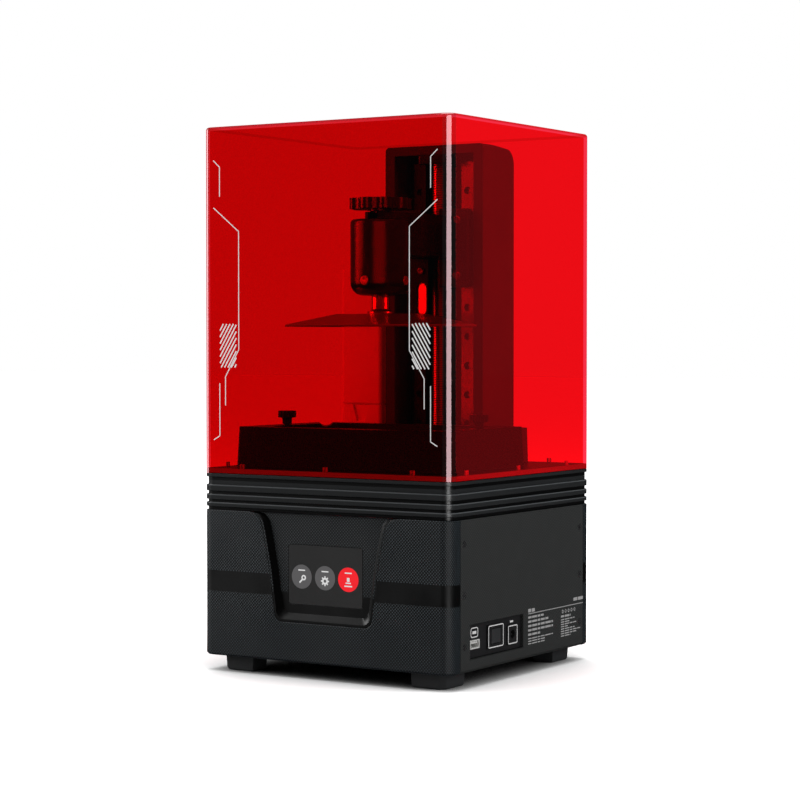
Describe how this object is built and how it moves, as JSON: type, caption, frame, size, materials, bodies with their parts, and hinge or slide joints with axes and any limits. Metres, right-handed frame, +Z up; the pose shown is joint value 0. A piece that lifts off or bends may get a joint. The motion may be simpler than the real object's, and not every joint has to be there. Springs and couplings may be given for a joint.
{
  "type": "resin printer",
  "caption": "Desktop resin printer with a ribbed base, touch panel, vat, lifting build platform on a column, and a clear lift-off cover.",
  "frame": {"origin": "on the table, under the middle of the printer", "axes": "+X to the right and +Y to the back seen from the front, +Z up"},
  "size_m": [0.24, 0.23, 0.4463],
  "materials": {
    "casing": "dark grey moulded plastic with a fine woven texture",
    "dark_plastic": "smooth black moulded plastic",
    "screen": "black touch screen glass",
    "rubber": "black rubber",
    "black_metal": "black anodised or painted metal",
    "aluminium": "bare or clear-anodised aluminium",
    "steel": "ground or plated steel",
    "window": "clear glass window in the deck",
    "film": "thin clear release film",
    "board": "green circuit board",
    "filter": "off-white plastic",
    "cover": "clear red acrylic, UV-blocking"
  },
  "bodies": {
    "root": {"front_shell": "casing", "rear_panel": "casing", "right_side_panel": "casing", "left_side_panel": "casing", "upper_casing": "casing", "control_panel": "dark_plastic", "port_plate": "dark_plastic", "switch_housing": "dark_plastic", "power_jack": "dark_plastic", "fan_frame": "dark_plastic", "tower_shell": "dark_plastic", "tower_plinth": "dark_plastic", "limit_sensor": "dark_plastic", "projector_lens": "dark_plastic", "screen_glass": "screen", "foot_front_left": "rubber", "foot_front_right": "rubber", "foot_rear_left": "rubber", "foot_rear_right": "rubber", "bottom_plate": "black_metal", "light_engine": "black_metal", "lift_motor": "black_metal", "rail_plate": "black_metal", "screen_module": "aluminium", "engine_bracket": "aluminium", "lower_bearing": "aluminium", "upper_bearing": "aluminium", "usb_port": "steel", "rail_left": "steel", "rail_right": "steel", "projection_window": "window", "main_board": "board", "filter_dock": "filter", "air_filter": "filter"},
    "cover": {"cover": "cover"},
    "screw": {"lead_screw": "steel", "shaft_coupler": "aluminium"},
    "carriage": {"carriage_plate": "black_metal", "rail_block_left": "steel", "rail_block_right": "steel", "screw_nut": "aluminium", "platform_arm": "black_metal", "limit_flag": "black_metal"},
    "head": {"head_housing": "black_metal", "set_screw_front": "steel", "set_screw_rear": "steel", "set_screw_left": "steel", "set_screw_right": "steel"},
    "knob": {"clamp_knob": "black_metal"},
    "ball": {"level_ball": "steel"},
    "platform": {"ball_stem": "steel", "build_plate": "aluminium"},
    "vat": {"vat_body": "black_metal", "film_frame": "steel", "release_film": "film"},
    "vat_screw_left": {"vat_knob_left": "dark_plastic"},
    "vat_screw_right": {"vat_knob_right": "dark_plastic"},
    "switch": {"power_rocker": "rubber"},
    "fan": {"fan_rotor": "dark_plastic"}
  },
  "joints": [
    {"name": "cover_lift", "type": "slide", "parent": "root", "child": "cover", "axis": [0, 0, 1], "range_m": [0, 0.3]},
    {"name": "carriage_travel", "type": "slide", "parent": "root", "child": "carriage", "axis": [0, 0, 1], "range_m": [-0.108, 0.037]},
    {"name": "screw_turn", "type": "hinge", "parent": "root", "child": "screw", "pos_m": [0, 0.0645, 0.3], "axis": [0, 0, 1], "range_deg": [-9730, 3340]},
    {"name": "head_release", "type": "slide", "parent": "carriage", "child": "head", "axis": [0, -1, 0], "range_m": [0, 0.032]},
    {"name": "clamp_knob_turn", "type": "hinge", "parent": "head", "child": "knob", "pos_m": [0, -0.0293, 0.38], "axis": [0, 0, 1], "continuous": true},
    {"name": "platform_tilt_side", "type": "hinge", "parent": "head", "child": "ball", "pos_m": [0, -0.0293, 0.3208], "axis": [1, 0, 0], "range_deg": [-1.5, 1.5]},
    {"name": "platform_tilt_front", "type": "hinge", "parent": "ball", "child": "platform", "pos_m": [0, -0.0293, 0.3208], "axis": [0, 1, 0], "range_deg": [-1.5, 1.5]},
    {"name": "vat_lift", "type": "slide", "parent": "root", "child": "vat", "axis": [0, 0, 1], "range_m": [0, 0.05]},
    {"name": "vat_screw_left_turn", "type": "hinge", "parent": "vat", "child": "vat_screw_left", "pos_m": [-0.0945, -0.0295, 0.2], "axis": [0, 0, 1], "continuous": true},
    {"name": "vat_screw_right_turn", "type": "hinge", "parent": "vat", "child": "vat_screw_right", "pos_m": [0.0945, -0.0295, 0.2], "axis": [0, 0, 1], "continuous": true},
    {"name": "power_rocker_tip", "type": "hinge", "parent": "root", "child": "switch", "pos_m": [0.1151, -0.0445, 0.0371], "axis": [0, 0, 1], "range_deg": [-7, 7]},
    {"name": "fan_spin", "type": "hinge", "parent": "root", "child": "fan", "pos_m": [0.055, 0.104, 0.0826], "axis": [0, 1, 0], "continuous": true}
  ],
  "couplings": [
    {"joint": "screw_turn", "follows": "carriage_travel", "rad_per_m": 1570.8}
  ]
}
